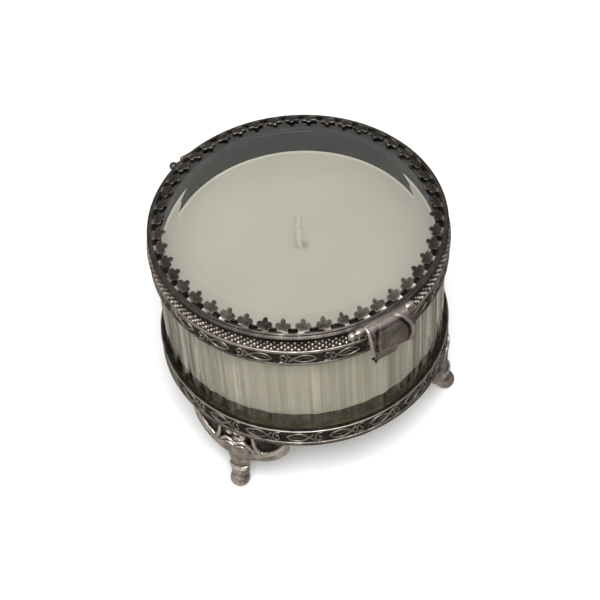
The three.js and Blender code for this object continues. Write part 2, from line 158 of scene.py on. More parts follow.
def loft(rings, wear_and_painted_light=0.5, closed=False):
    """Joins rings of points into one body: back on itself if closed, or with a face across each end."""
    count, sides = len(rings), len(rings[0])
    faces = tube_faces(count, sides, closed)
    if not closed:
        faces += [list(range(sides)), list(range((count - 1) * sides, count * sides))]
    return Shape().add(np.concatenate(rings), faces, wear_and_painted_light)


def headings(steps, arc=None):
    """Angles in radians, right round or over an arc of (start, end) in degrees."""
    if arc is None:
        return np.arange(steps) / steps * TURN
    return np.radians(np.linspace(*arc, steps))


def arc_about(middle, half_width, radius):
    """The arc, in degrees, that reaches half_width to each side of a heading."""
    half = degrees(asin(half_width / radius))
    return middle - half, middle + half


def revolve(profile, sides=240, wear_and_painted_light=0.5, arc=None):
    """Turns a closed profile of (r, z) about Z, right round or over an arc in degrees."""
    radius, height = np.asarray(profile, float).T
    count = sides if arc is None else sides + 1
    rings = [np.stack([radius * cos(t), radius * sin(t), height], 1) for t in headings(count, arc)]
    return loft(rings, np.tile(np.broadcast_to(wear_and_painted_light, (len(profile),)), count), arc is None)


def smooth(points, per=6):
    """A Catmull-Rom curve through the points."""
    points = [np.asarray(p, float) for p in points]
    made = []
    for span in range(len(points) - 1):
        p1, p2 = points[span], points[span + 1]
        p0 = points[span - 1] if span else 2 * p1 - p2
        p3 = points[span + 2] if span + 2 < len(points) else 2 * p2 - p1
        for t in np.arange(per) / per:
            made.append(0.5 * (2 * p1 + (p2 - p0) * t + (2 * p0 - 5 * p1 + 4 * p2 - p3) * t * t
                               + (3 * p1 - p0 - 3 * p2 + p3) * t ** 3))
    return np.array([*made, points[-1]])


def sweep(path, across, rise=None, sides=8, up=(0, 0, 1), wear_and_painted_light=0.5, closed=False, low_wear_and_painted_light=None):
    """A rounded bar along a path. Its section is an ellipse: half-width across and half-height rise."""
    path = np.asarray(path, float)
    count = len(path)
    across = np.broadcast_to(np.asarray(across, float), (count,))
    rise = across if rise is None else np.broadcast_to(np.asarray(rise, float), (count,))
    tangents = unit(np.roll(path, -1, 0) - np.roll(path, 1, 0)) if closed else directions(path)
    side = unit(np.cross(np.broadcast_to(np.asarray(up, float), (count, 3)), tangents))
    lift = np.cross(tangents, side)
    spots, sizes, indices = list(path), [1.0] * count, list(range(count))
    if not closed:          # each end is drawn in to a blunt tip
        head = path[0] - tangents[0] * across[0] * 0.7
        tail = path[-1] + tangents[-1] * across[-1] * 0.7
        spots, sizes = [head, *spots, tail], [0.62, *sizes, 0.62]
        indices = [0, *indices, count - 1]
    turns = headings(sides)
    low_wear_and_painted_light = wear_and_painted_light if low_wear_and_painted_light is None else low_wear_and_painted_light
    rings = [spot + np.outer(np.cos(turns), side[index]) * across[index] * size
             + np.outer(np.sin(turns), lift[index]) * rise[index] * size
             for spot, size, index in zip(spots, sizes, indices)]
    levels = np.tile(low_wear_and_painted_light + (wear_and_painted_light - low_wear_and_painted_light) * (0.5 + 0.5 * np.sin(turns)), len(rings))
    return loft(rings, levels, closed)


def ball(centre, radii, rings=8, sides=12, wear_and_painted_light=0.6, low_wear_and_painted_light=None):
    """An ellipsoid, with its poles along the third axis."""
    radii = np.broadcast_to(np.asarray(radii, float), (3,))
    low_wear_and_painted_light = wear_and_painted_light if low_wear_and_painted_light is None else low_wear_and_painted_light
    points = []
    for drop in np.arange(1, rings) / rings * pi:
        points += [[sin(drop) * cos(turn), sin(drop) * sin(turn), cos(drop)] for turn in headings(sides)]
    points += [[0, 0, 1], [0, 0, -1]]
    faces = tube_faces(rings - 1, sides)
    top, bottom = len(points) - 2, len(points) - 1
    last = (rings - 2) * sides
    for side in range(sides):
        after = (side + 1) % sides
        faces += [[top, after, side], [bottom, last + side, last + after]]
    points = np.array(points)
    levels = low_wear_and_painted_light + (wear_and_painted_light - low_wear_and_painted_light) * (0.5 + 0.5 * points[:, 2])
    return Shape().add(points * radii + np.asarray(centre, float), faces, levels)


def rod(from_x, to_x, y, z, radius, bore=0.0, edge=0.2, wear_and_painted_light=0.6):
    """A round bar or tube along X with softened ends."""
    outline = [(radius - edge, from_x), (radius - edge * 0.3, from_x + edge * 0.3), (radius, from_x + edge)]
    outline += [(radius, to_x - edge), (radius - edge * 0.3, to_x - edge * 0.3), (radius - edge, to_x)]
    outline += [(max(bore, AXIS), to_x), (max(bore, AXIS), from_x)]
    levels = [wear_and_painted_light + 0.2, wear_and_painted_light + 0.25, wear_and_painted_light, wear_and_painted_light, wear_and_painted_light + 0.25, wear_and_painted_light + 0.2, 0.0, 0.0]
    return revolve(outline, 32, levels).bent(lambda p: np.stack([p[:, 2], p[:, 0] + y, p[:, 1] + z], 1))


def prism(outline, from_x, to_x, edge=0.2, wear_and_painted_light=0.5):
    """A polygon in (y, z) carried along X, with softened end edges."""
    outline = np.asarray(outline, float)
    middle = outline.mean(0)
    drawn_in = middle + (outline - middle) * (1 - edge / np.abs(outline - middle).max())
    layers = [(from_x, drawn_in), (from_x + edge, outline), (to_x - edge, outline), (to_x, drawn_in)]
    return loft([np.column_stack([np.full(len(ring), x), ring]) for x, ring in layers], wear_and_painted_light)


def plate(outer, inner, levels, kept):
    """A sheet between two grids of points; cells that aren't kept are left open and walled round."""
    rows, columns = outer.shape[:2]
    faces, half = [], rows * columns
    solid = np.pad(kept, 1)         # with an open margin, so each cell is one row and column further on
    for row, column in np.argwhere(kept).tolist():
        first = row * columns + column
        corners = [first, first + 1, first + columns + 1, first + columns]
        faces += [corners, [half + c for c in reversed(corners)]]
        beside = [(row, column + 1), (row + 1, column + 2), (row + 2, column + 1), (row + 1, column)]
        for side, place in enumerate(beside):
            if not solid[place]:
                a, b = corners[side], corners[(side + 1) % 4]
                faces.append([b, a, half + a, half + b])
    points = np.concatenate([outer.reshape(-1, 3), inner.reshape(-1, 3)])
    levels = np.concatenate([np.ravel(levels), np.full(half, 0.2)])
    used, places = np.unique(faces, return_inverse=True)
    return Shape().add(points[used], places.reshape(-1, 4).tolist(), levels[used])


def wrap(radius, z, phase=0.0):
    """Carries (along, up, out) in mm onto a cylinder, starting at the phase in degrees."""
    def change(p):
        angle = p[:, 0] / radius + radians(phase)
        out = radius + p[:, 2]
        return np.stack([out * np.cos(angle), out * np.sin(angle), z + p[:, 1]], 1)
    return change


# ---- materials


class Look:
    """A node tree with its main shader, and the few kinds of node that the looks are made of."""

    def __init__(self, owner, shader="Principled BSDF"):
        owner.use_nodes = True
        self.owner, self.tree = owner, owner.node_tree
        self.shader = self.tree.nodes[shader]

    def node(self, kind, *values, output=0, **settings):
        """Makes a node, gives its first inputs their values or links, and returns an output."""
        made = self.tree.nodes.new("ShaderNode" + kind)
        for key, value in settings.items():
            setattr(made, key, value)
        for socket, value in zip(made.inputs, values):
            self.feed(socket, value)
        return made.outputs[output]

    def feed(self, socket, value):
        if isinstance(value, bpy.types.NodeSocket):
            self.tree.links.new(value, socket)
        else:
            socket.default_value = value

    def set(self, **values):
        """Sets inputs of the main shader, named in lower case with _ for a space."""
        for key, value in values.items():
            if key == "base_color" and isinstance(value, tuple):
                value = (*value, 1.0)
            self.feed(self.shader.inputs["IOR" if key == "ior" else key.replace("_", " ").title()], value)

    def math(self, operation, *values):
        return self.node("Math", *values, operation=operation)

    def place(self, output="Object"):
        return self.node("TexCoord", output=output)

    def noise(self, scale, detail=3.0, roughness=0.55, place=None):
        made = self.node("TexNoise", self.place() if place is None else place)
        for name, value in (("Scale", scale), ("Detail", detail), ("Roughness", roughness)):
            made.node.inputs[name].default_value = value
        return made

    def ramp(self, source, *stops):
        made = self.node("ValToRGB", source)
        elements = made.node.color_ramp.elements
        while len(elements) < len(stops):
            elements.new(0.5)
        for element, (place, colour) in zip(elements, stops):
            element.position = place
            element.color = (*colour, 1.0) if isinstance(colour, tuple) else (colour, colour, colour, 1.0)
        return made

    def blend(self, first, second, kind="MIX", factor=1.0):
        made = self.node("Mix", factor, data_type="RGBA", blend_type=kind).node
        one, two = (socket for socket in made.inputs if socket.type == "RGBA")
        self.feed(one, first)
        self.feed(two, second)
        return next(socket for socket in made.outputs if socket.type == "RGBA")

    def multiply(self, first, *others):
        for other in others:
            first = self.blend(first, other, "MULTIPLY")
        return first

    def bump(self, height, strength, distance):
        made = self.node("Bump").node
        for name, value in (("Height", height), ("Strength", strength), ("Distance", distance)):
            self.feed(made.inputs[name], value)
        self.feed(self.shader.inputs["Normal"], made.outputs["Normal"])

    def split(self, output="Object"):
        """The coordinates one by one, and the heading round Z in radians."""
        parts = self.node("SeparateXYZ", self.place(output)).node.outputs
        return parts["X"], parts["Y"], parts["Z"], self.math("ARCTAN2", parts["Y"], parts["X"])

    def streaks(self, heading, height, around, tall, detail):
        """Noise drawn out upright round the axis."""
        spot = self.node("CombineXYZ", self.math("MULTIPLY", heading, around), 0.0,
                         self.math("MULTIPLY", height, tall))
        return self.noise(1.0, detail, 0.5, spot)


def new_material(name):
    return Look(bpy.data.materials.new(name))


def silver(name, dark, middle, bright, rough_low=0.6, rough_high=0.36):
    """Antiqued silver plate: dark in the hollows, rubbed bright on the high spots, mottled and pitted. The
    same per-point level also brings in painted shade and painted highlights on some pieces.
    """
    look = new_material(name)
    wear_and_painted_light = look.node("Attribute", output="Fac", attribute_name="wear_and_painted_light")
    mottle = look.math("MULTIPLY_ADD", look.noise(300.0, 4.0), 0.7, -0.35)
    grain = look.math("MULTIPLY_ADD", look.noise(1700.0, 2.0), 0.34, -0.17)
    level = look.math("ADD", look.math("ADD", wear_and_painted_light, mottle), grain)
    colour = look.ramp(level, (0.0, dark), (0.5, middle), (0.82, bright), (1.0, bright))
    roughness = look.ramp(level, (0.0, rough_low), (1.0, rough_high))
    look.set(metallic=1.0, base_color=colour, roughness=roughness)
    look.bump(look.noise(2200.0, 3.0), 0.22, 0.0001)
    return look.owner


def glass(name, roughness, tint=None):
    """Clear glass, still open to changes."""
    look = new_material(name)
    look.set(transmission_weight=1.0, roughness=roughness, ior=1.5)
    if tint:
        look.set(base_color=tint)
    return look


def pressed_glass():
    """The jar's glass: upright streaks from the mould, with painted shade that darkens the streaks towards
    the jar's left and right sides as the camera sees them.
    """
    look = glass("jar_glass", 0.02)
    _, _, height, heading = look.split()
    streak = look.streaks(heading, height, 17.0, 7.0, 1.0)
    plain = look.ramp(streak, (0.3, (0.74, 0.70, 0.62)), (0.5, (0.97, 0.93, 0.85)))
    painted_side_shade = look.ramp(streak, (0.4, (0.25, 0.225, 0.19)), (0.6, (0.95, 0.9, 0.84)))
    # painted shade: darkest where the side turns away, left and right of the camera's line of sight
    view_heading_offset = 2.086
    across = look.math("ABSOLUTE", look.math("SINE", look.math("ADD", heading, view_heading_offset)))
    look.set(base_color=look.blend(plain, painted_side_shade, factor=look.ramp(across, (0.5, 0.0), (0.92, 1.0))))
    look.bump(look.streaks(heading, height, 12.0, 4.0, 0.0), 1.0, 0.002)
    return look.owner


def wax_material():
    """Cream wax, clouded, with painted light: brighter towards the back, a painted highlight in a thin ring
    near the edge, and a faint dark fleck beside the wick.
    """
    look = new_material("cream_wax")
    cloud, speck = look.noise(45.0), look.noise(700.0, 2.0)
    level = look.math("MULTIPLY_ADD", speck, 0.25, look.math("MULTIPLY", cloud, 0.75))
    cream = look.ramp(level, (0.25, (0.49, 0.475, 0.395)), (0.75, (0.54, 0.525, 0.445)))
    fleck_place = ((WICK_X + 1.9) * MM, (WICK_Y + 0.2) * MM, WAX_TOP * MM)
    away = look.node("VectorMath", look.place(), fleck_place, output="Value", operation="DISTANCE")
    ragged = look.math("MULTIPLY_ADD", look.noise(900.0, 2.0), 0.0014, -0.0007)
    fleck_level = look.math("MULTIPLY", look.math("ADD", away, ragged), 400.0)
    fleck = look.ramp(fleck_level, (0.1, (0.66, 0.61, 0.52)), (0.9, 1.0))
    x, y, _, _ = look.split()
    # painted light: the wax colour is raised towards the back
    painted_back_light = look.ramp(look.math("MULTIPLY_ADD", y, 10.0, 0.5), (0.1, 0.94), (0.55, 0.98), (0.9, 1.12))
    # painted highlight: a thin bright ring of colour near the wax's edge, under the skirt
    radius = look.node("VectorMath", look.node("CombineXYZ", x, y), output="Value", operation="LENGTH")
    rim_sheen_level = look.math("MULTIPLY", radius, 20.0)
    edge = look.ramp(rim_sheen_level, (0.818, 1.0), (0.832, 1.4), (0.842, 1.4), (0.848, 1.0))
    look.set(base_color=look.multiply(cream, fleck, painted_back_light, edge), subsurface_weight=0.1,
             roughness=look.ramp(cloud, (0.2, 0.5), (0.8, 0.38)), subsurface_radius=(0.004, 0.003, 0.002))
    look.bump(look.noise(160.0, 4.0), 0.12, 0.0006)
    return look.owner


def tray_material():
    """The dark olive plate under the jar, seen through the glass."""
    look = new_material("tray_olive")
    cloud = look.noise(220.0, 4.0)
    look.set(base_color=look.ramp(cloud, (0.3, (0.16, 0.14, 0.095)), (0.7, (0.33, 0.3, 0.21))),
             roughness=look.ramp(cloud, (0.2, 0.5), (0.8, 0.7)))
    return look.owner


def cotton_material():
    look = new_material("wick_cotton")
    fibre = look.noise(1800.0, 4.0, 0.7)
    look.set(roughness=0.75,
             base_color=look.ramp(fibre, (0.25, (0.46, 0.42, 0.30)), (0.75, (0.78, 0.75, 0.60))))
    look.bump(fibre, 0.6, 0.0002)
    return look.owner


SILVER = silver("antique_silver", (0.010, 0.009, 0.008), (0.088, 0.076, 0.066), (0.34, 0.305, 0.27))
DARK_SILVER = silver("dark_silver", (0.006, 0.005, 0.005), (0.045, 0.040, 0.036), (0.16, 0.148, 0.136))
# a smoother, brighter copy of the silver for the clasp, hinge and pins: painted sheen for light reflected
# from low round the sides
SMOOTH_SILVER_PAINTED_SHEEN = silver("smooth_silver_painted_sheen", (0.02, 0.017, 0.015), (0.26, 0.222, 0.202), (0.54, 0.485, 0.445),
                       0.5, 0.3)
BEAD_SILVER = silver("beaded_silver", (0.022, 0.018, 0.015), (0.15, 0.128, 0.112), (0.5, 0.45, 0.4),
                     0.5, 0.3)
# the brightest copy, for the feet: painted sheen for light reflected onto them from low round the sides
FOOT_SILVER_PAINTED_SHEEN = silver("foot_silver_painted_sheen", (0.02, 0.018, 0.016), (0.32, 0.285, 0.255), (0.7, 0.64, 0.58), 0.42, 0.24)
JAR_GLASS = pressed_glass()
LID_GLASS = glass("lid_glass_clear", 0.0, (0.965, 0.97, 0.955)).owner
TRAY, WAX, COTTON = tray_material(), wax_material(), cotton_material()


# ---- pieces


def added(name, data):
    made = bpy.data.objects.new(name, data)
    bpy.context.scene.collection.objects.link(made)
    return made


def piece(node, shape, material, body="body", sharp=35):
    """Makes the mesh that stands for a CAD node. Edges bent by more than sharp degrees stay crisp."""
    name = node + "_visual"
    mesh = bpy.data.meshes.new(name)
    mesh.from_pydata([[c * MM for c in p] for p in shape.points], [], shape.faces)
    attribute = mesh.attributes.new("wear_and_painted_light", "FLOAT", "POINT")
    attribute.data.foreach_set("value", np.array(shape.wear_and_painted_light, np.float32))
    tidy = bmesh.new()
    tidy.from_mesh(mesh)
    bmesh.ops.recalc_face_normals(tidy, faces=tidy.faces)
    for face in tidy.faces:
        face.smooth = True
    for edge in tidy.edges:
        edge.smooth = edge.calc_face_angle(0.0) < radians(sharp)
    tidy.to_mesh(mesh)
    tidy.free()
    made = added(name, mesh)
    mesh.materials.append(material)
    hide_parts(node)
    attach(made, body)
    return made


def normals_of(points, faces):
    total = np.zeros_like(points)
    for face in faces:
        a, b, c = points[face[0]], points[face[1]], points[face[2]]
        total[face] += np.cross(b - a, c - a)
    return unit(total)


def cast(shape, voxel=0.25, rounds=2):
    """Fuses overlapping solids into one smooth casting: its points, its faces and the points blurred."""
    mesh = bpy.data.meshes.new("cast_work")
    mesh.from_pydata(shape.points, [], shape.faces)
    work = added("cast_work", mesh)
    remesh = work.modifiers.new("Remesh", "REMESH")
    remesh.mode, remesh.voxel_size = "VOXEL", voxel
    bpy.context.view_layer.update()
    fused = work.evaluated_get(bpy.context.evaluated_depsgraph_get()).to_mesh()
    points = np.array([vertex.co for vertex in fused.vertices], float)
    edges = np.array([edge.vertices for edge in fused.edges])
    faces = [list(polygon.vertices) for polygon in fused.polygons]
    bpy.data.objects.remove(work)
    bpy.data.meshes.remove(mesh)
    degree = np.bincount(edges.ravel(), minlength=len(points)).reshape(-1, 1)

    def mean(values):
        total = np.zeros_like(values)
        np.add.at(total, edges[:, 0], values[edges[:, 1]])
        np.add.at(total, edges[:, 1], values[edges[:, 0]])
        return total / degree

    for _ in range(rounds):
        points = points + 0.55 * (mean(points) - points)
        points = points - 0.35 * (mean(points) - points)
    wide = points
    for _ in range(14):
        wide = mean(wide)
    return points, faces, wide


# ---- glass and wax


def jar_outline():
    """Angle and radius of the outside: 40 shallow flutes, each a little hollow between blunt corners."""
    pitch, blunt, hollow, steps = 360 / FACETS, 0.3, 0.28, 8
    angles, radii = [], []
    flat = JAR_R * cos(radians(pitch / 2))
    for facet in range(FACETS):
        for step in range(steps + 1):
            across = step / steps * 2 - 1
            offset = radians(across * (pitch / 2 - blunt))
            angles.append(radians(facet * pitch + pitch / 2) + offset)
            radii.append(flat / cos(offset) - hollow * (1 - across * across))
    return np.array(angles), np.array(radii)


def make_jar():
    angles, facet = jar_outline()
    chamfer, fillet, lip = 0.4, 1.2, 0.35
    flat_in = np.full(len(angles), JAR_INNER)
    rings = [(facet - chamfer, JAR_LOW), (facet, JAR_LOW + chamfer), (facet, JAR_TOP - lip),
             (facet - lip, JAR_TOP), (flat_in + lip, JAR_TOP), (flat_in, JAR_TOP - lip),
             (flat_in, JAR_FLOOR + fillet)]
    for turn in (pi / 6, pi / 3, pi / 2):
        rings.append((flat_in - fillet * (1 - cos(turn)), JAR_FLOOR + fillet * (1 - sin(turn))))
    shape = loft([np.stack([radius * np.cos(angles), radius * np.sin(angles), np.full(len(angles), z)], 1)
                  for radius, z in rings])
    piece("glass_jar", shape, JAR_GLASS, sharp=8)


def make_wax():
    rise, fillet, recess = 0.3, 1.2, 8.4
    outer, floor = JAR_INNER + CONTACT, JAR_FLOOR - CONTACT
    profile = [(recess, floor), (outer - fillet, floor)]
    for turn in (pi / 6, pi / 3, pi / 2):
        profile.append((outer - fillet * (1 - sin(turn)), floor + fillet * (1 - cos(turn))))
    profile += [(outer, WAX_TOP - 2), (outer, WAX_TOP + rise)]
    for gap in (0.3, 0.8, 1.6, 2.8):
        profile.append((outer - gap, WAX_TOP + rise * exp(-gap / 0.8)))
    for radius in (37, 32, 27, 22, 18, 14, 10, 7, 5, 3.6, 2.6, 1.9):
        profile.append((radius, WAX_TOP - 0.2 * exp(-((radius / 9) ** 2))))
    profile += [(1.4, WAX_TOP + 0.05), (1.12, WAX_TOP + 0.35), (0.92, WAX_TOP + 0.4), (0.9, WAX_LOW + 4.2),
                (2.3, WAX_LOW + 4.0), (2.3, WAX_LOW + 0.7), (recess, WAX_LOW + 0.7)]

    def round_the_wick(points):
        inside = np.clip((outer - np.hypot(points[:, 0], points[:, 1])) / (outer - recess), 0, 1)
        return points + inside[:, None] * [WICK_X, WICK_Y, 0]

    piece("candle_wax", revolve(profile, 160).bent(round_the_wick), WAX, sharp=50)


def make_wick():
    low, high = box_mm("wick")
    bend = np.array([WICK_X, WICK_Y, WAX_TOP])
    tip = np.array([high.x - 0.8, high.y - 0.85, high.z - 0.5])
    knee = np.array([WICK_X, WICK_Y, WAX_TOP + (tip[2] - WAX_TOP) * 0.3])
    path = [np.array([WICK_X, WICK_Y, z]) for z in np.linspace(low.z, WAX_TOP, 30)[:-1]]
    path += [(1 - t) ** 2 * bend + 2 * t * (1 - t) * knee + t * t * tip for t in np.linspace(0, 1, 44)]
    along = run_of(path)
    tangents = directions(path)
    first = unit(np.cross(tangents, [0.2, 1, 0]))
    second = np.cross(tangents, first)
    shape = Shape()
    plies, lay, fray_length = 3, 4.2, 1.6
    for ply in range(plies):
        turn = (along / lay + ply / plies) * TURN
        fray = 0.42 * (1 + 0.35 * np.clip((along - along[-1] + fray_length) / fray_length, 0, 1))
        strand = path + (first * np.cos(turn)[:, None] + second * np.sin(turn)[:, None]) * fray[:, None]
        shape.join(sweep(strand, 0.52, sides=9, up=first))
    piece("wick", shape, COTTON, sharp=60)


def make_sustainer():
    """The stamped disc at the bottom of the wick, with its crimped neck."""
    low, high = (c.z for c in box_mm("wick_sustainer"))
    disc = [(AXIS, 0), (7.3, 0), (7.48, 0.12), (7.48, 0.36), (7.3, 0.5), (5.2, 0.5), (5.0, 0.42),
            (4.6, 0.42), (4.4, 0.5), (2.3, 0.5), (2.0, 0.7), (1.85, 1.6), (1.95, 2.2)]
    profile = [(r, low + z) for r, z in disc] + [(1.8, high - 0.2), (1.6, high), (AXIS, high)]
    shape = revolve(profile, 96, 0.6).bent(lambda p: p + [WICK_X, WICK_Y, 0])
    piece("wick_sustainer", shape, SMOOTH_SILVER_PAINTED_SHEEN)


# ---- collars and bands


def make_base_collar():
    """The ring and its plate; the jar is stuck down on the plate, which shows olive through the glass."""
    inner, shelf, sheet = COLLAR_R - 0.8, JAR_LOW + CONTACT, 0.9
    profile = [(AXIS, shelf - sheet), (inner, shelf - sheet), (inner, BASE_LOW + 0.15),
               (inner + 0.15, BASE_LOW), (COLLAR_R, BASE_LOW), (COLLAR_R, BASE_TOP),
               (inner + 0.25, BASE_TOP), (inner, BASE_TOP - 0.25)]
    profile += [(r, shelf) for r in (inner, 44, 36, 24, 12, AXIS)]
    made = piece("base_collar", revolve(profile, wear_and_painted_light=0.4), DARK_SILVER)
    made.data.materials.append(TRAY)
    for face in made.data.polygons:
        face.material_index = int(face.center.xy.length < (inner - 0.05) * MM)


def make_rim_collar():
    """The ring crimped over the glass: a skirt outside it, a flange, and a skirt inside down to the wax."""
    inner, neck, flange = RIM_COLLAR_R - 0.6, RIDGE_R - 1.1, JAR_TOP + 0.3
    skirt, low = JAR_INNER - 0.75, WAX_TOP + 0.1
    profile = [(inner, UP_BAND_Z), (RIM_COLLAR_R, UP_BAND_Z), (RIM_COLLAR_R, UP_BAND_TOP - 0.1),
               (neck, UP_BAND_TOP + 0.1), (neck, RIM_COLLAR_TOP - 0.15), (neck - 0.15, RIM_COLLAR_TOP),
               (skirt + 0.2, RIM_COLLAR_TOP), (skirt, RIM_COLLAR_TOP - 0.2), (skirt, low + 0.1),
               (skirt + 0.1, low), (skirt + 0.5, low), (skirt + 0.5, flange), (inner, flange)]
    levels = [0.3, 0.3, 0.2, 0.2, 0.1, 0.3, 0.35, 0.35, 0.35, 0.3, 0.2, 0.2, 0.2]
    piece("rim_collar", revolve(profile, wear_and_painted_light=levels), DARK_SILVER)


MOTIFS = 22
FIELD = BAND_R - 0.5      # radius of the sunken ground of the lower band
STRIP = TURN * FIELD / MOTIFS


def scroll_motif():
    """One repeat of the stamped strip, in (along, up, out): a ribbed block, an open leaf and a curl."""
    made = Shape()

    def strand(points, across=0.36, rise=0.5, wear_and_painted_light=0.95):
        path = smooth([(u, v, 0.0) for u, v in points], 5)
        width = across * (0.75 + 0.25 * np.sin(np.linspace(0.15, pi - 0.15, len(path))))
        made.join(sweep(path, width, rise * 0.8, wear_and_painted_light=wear_and_painted_light * 0.8, low_wear_and_painted_light=0.12))

    strand([(1.25, 2.75), (2.5, 1.35), (4.3, 0.72), (6.2, 1.0), (7.9, 2.1), (9.2, 3.35), (9.75, 3.9)], 0.42)
    strand([(1.25, 2.75), (2.9, 3.75), (5.0, 4.2), (6.9, 3.7), (8.4, 2.55), (9.6, 1.35), (9.95, 1.0)], 0.4)
    strand([(2.9, 2.55), (4.4, 2.15), (5.9, 2.6), (6.9, 2.95)], 0.16, 0.3, 0.5)
    strand([(12.45, 4.45), (11.6, 4.5), (10.75, 3.95), (10.3, 2.9), (10.35, 1.8), (10.95, 0.85),
            (11.75, 0.8), (12.2, 1.6), (12.1, 2.6), (11.55, 3.0)])
    strand([(11.25, 1.9), (11.3, 2.5)], 0.2, 0.35, 0.6)
    for shift in (-0.62, 0.0, 0.62):
        strand([(shift, 0.45), (shift, 2.4), (shift, 4.55)], 0.17, 0.42, 0.7)
    strand([(-1.05, 0.35), (-1.05, 4.6)], 0.12, 0.3, 0.5)
    strand([(1.0, 0.35), (1.0, 1.2)], 0.12, 0.3, 0.4)
    return made


def band_ring(radius, thickness, low, high):
    """The sunken strip, smooth enough to take the relief."""
    inner, field = radius - thickness, radius - thickness * 0.66
    profile = [(inner, low), (field + 0.1, low), (field, low + 0.2), (field, high - 0.2),
               (field - 0.05, high), (inner, high)]
    return revolve(profile, 264, [0.1, 0.3, 0.24, 0.24, 0.3, 0.1])


def hoop(radius, z, across, rise, wear_and_painted_light, low_wear_and_painted_light=0.2, sides=8, steps=264, arc=None):
    """A wire hoop: across is its half-height and rise its half-depth."""
    angles = headings(steps, arc)
    out = np.stack([np.cos(angles), np.sin(angles), np.zeros(steps)], 1)
    return sweep(out * radius + [0, 0, z], across, rise, sides, out, wear_and_painted_light, arc is None, low_wear_and_painted_light)


def scroll_field(shape, radius, low, border, field, upside_down):
    """Wraps the repeats of the scroll round the band, in the strip above its lower border."""
    motif = scroll_motif()
    strip = TURN * radius / MOTIFS
    flat = np.array(motif.points) * [strip / STRIP, field / 5.0, radius / FIELD]
    if upside_down:
        flat[:, 0], flat[:, 1] = strip - flat[:, 0], field - flat[:, 1]
    for count in range(MOTIFS):
        shape.add(wrap(radius, low + border, -147.5 + count * 360 / MOTIFS)(flat), motif.faces, motif.wear_and_painted_light)


def make_lower_band():
    shape = band_ring(BAND_R, 0.75, LOW_BAND_Z, LOW_BAND_TOP)
    scroll_field(shape, FIELD, LOW_BAND_Z, 1.75, 5.5, False)
    shape.join(hoop(BAND_R - 0.4, LOW_BAND_TOP - 0.38, 0.3, 0.36, 1.0))
    shape.join(hoop(BAND_R - 0.45, LOW_BAND_Z + 1.75, 0.2, 0.36, 0.7))
    shape.join(hoop(BAND_R - 0.55, LOW_BAND_Z + 0.85, 0.62, 0.45, 0.6))
    reeds = 300
    for along in TURN * FIELD * np.arange(reeds) / reeds:
        path = [(along - 0.28, 0.35, 0.26), (along + 0.02, 0.85, 0.44), (along + 0.28, 1.35, 0.26)]
        shape.join(sweep(path, 0.17, 0.12, sides=5, wear_and_painted_light=0.75, low_wear_and_painted_light=0.2), wrap(FIELD, LOW_BAND_Z))
    piece("lower_scroll_band", shape, SILVER, sharp=60)


def make_upper_band():
    shape = band_ring(UP_BAND_R, 0.5, UP_BAND_Z, UP_BAND_TOP)
    scroll_field(shape, UP_BAND_R - 0.34, UP_BAND_Z, 1.05, 4.5, True)
    shape.join(hoop(UP_BAND_R - 0.2, UP_BAND_TOP - 0.3, 0.22, 0.2, 0.8))
    shape.join(hoop(UP_BAND_R - 0.2, UP_BAND_Z + 1.0, 0.16, 0.2, 0.62))
    shape.join(hoop(UP_BAND_R - 0.2, UP_BAND_Z + 0.4, 0.34, 0.2, 0.7))
    piece("upper_scroll_band", shape, SILVER, sharp=60)


def past_the_hinge(radius):
    """A rim strip's arc, from one side of the hinge's notch round to the other, and half the notch."""
    start, end = arc_about(90, NOTCH_HALF, radius)
    return (end, start + 360), end - 90


def make_ridge():
    arc, _ = past_the_hinge(RIDGE_R)
    shape = hoop(RIDGE_R - 0.5, (RIDGE_LOW + RIDGE_TOP) / 2, 0.46, 0.5, 0.85, 0.25, 12, 300, arc)
    piece("ridge_wire", shape, SILVER, sharp=70)


def make_gallery():
    """The strip that leans in a little, with staggered rows of beads, painted darker towards the top as
    shadow under the lid.
    """
    foot, head = np.array([GALLERY_R - 0.3, GALLERY_LOW]), np.array([GALLERY_R - 0.95, GALLERY_TOP])
    depth = np.array([-0.15, 0.0])
    arc, half = past_the_hinge(GALLERY_R)
    # painted shadow: the strip's ground goes dark towards its top, under the lid
    shape = revolve([foot + depth, foot, head, head + depth], 300, [0.2, 0.34, 0.0, 0.0], arc)
    slope = unit(head - foot)
    outward = np.array([slope[1], -slope[0]])
    per_row, rows, bead_r, sunk = 144, 4, 0.6, 0.1
    for row in range(rows):
        spot = foot + (head - foot) * (0.11 + 0.66 * row / (rows - 1)) - outward * sunk
        for count in range(per_row):
            angle = (count + 0.5 * (row % 2)) / per_row * TURN
            if abs((degrees(angle) + 90) % 360 - 180) < half + 0.9:
                continue
            size = bead_r * rng.uniform(0.86, 1.06)
            # random tone per bead, with painted shadow that darkens each higher row
            tone_and_painted_light = rng.uniform(0.75, 1.3) * (1 - 0.16 * row)
            bead = ball((0, 0, 0), (size, size, size * 0.85), 6, 10, tone_and_painted_light, 0.2)
            out = np.array([outward[0] * cos(angle), outward[0] * sin(angle), outward[1]])
            side = np.array([-sin(angle), cos(angle), 0.0])
            place = np.array([spot[0] * cos(angle), spot[0] * sin(angle), spot[1]])
            shape.join(bead.bent(lambda p: p @ np.stack([side, np.cross(out, side), out]) + place))
    piece("beaded_gallery", shape, BEAD_SILVER, sharp=60)


# ---- feet


